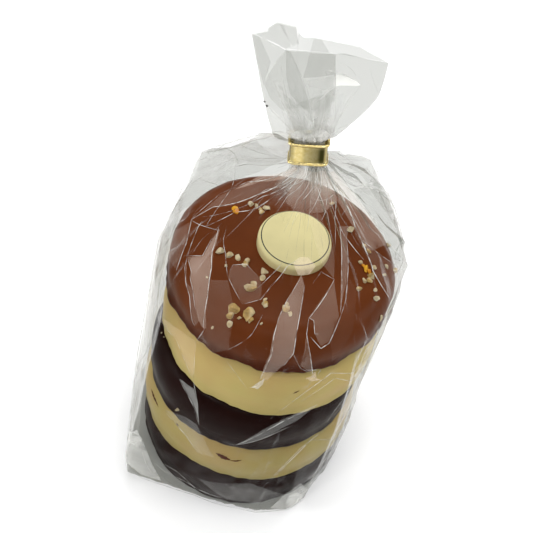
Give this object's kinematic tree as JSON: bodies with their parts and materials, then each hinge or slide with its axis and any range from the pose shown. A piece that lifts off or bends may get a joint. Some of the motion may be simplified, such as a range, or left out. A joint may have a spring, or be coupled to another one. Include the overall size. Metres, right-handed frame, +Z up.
{
  "type": "bag of glazed lebkuchen",
  "caption": "Clear tied bag holding a stack of round chocolate-glazed lebkuchen, with a flat foot, gathered neck, metal band and open film fan.",
  "frame": {"origin": "middle of the flat foot that the bag stands on, on the stack's axis", "axes": "+Z up through the stack and the neck, +X to the right and +Y to the back as seen from the side with the wider left corner"},
  "size_m": [0.0998, 0.0949, 0.1877],
  "materials": {
    "film": "clear thin crisp film, glossy",
    "band": "pressed gold-coloured metal, bright",
    "milk_chocolate": "smooth milk chocolate glaze, soft gloss",
    "white_chocolate": "smooth white chocolate glaze, soft gloss",
    "dark_chocolate": "smooth dark chocolate glaze, gloss",
    "medallion": "moulded white chocolate disc, satin, with a thin dark ring line",
    "nuts": "chopped roasted nuts, matt",
    "orange_peel": "candied orange, slightly wet"
  },
  "bodies": {
    "root": {"bag": "film", "band": "band"}
  },
  "joints": []
}
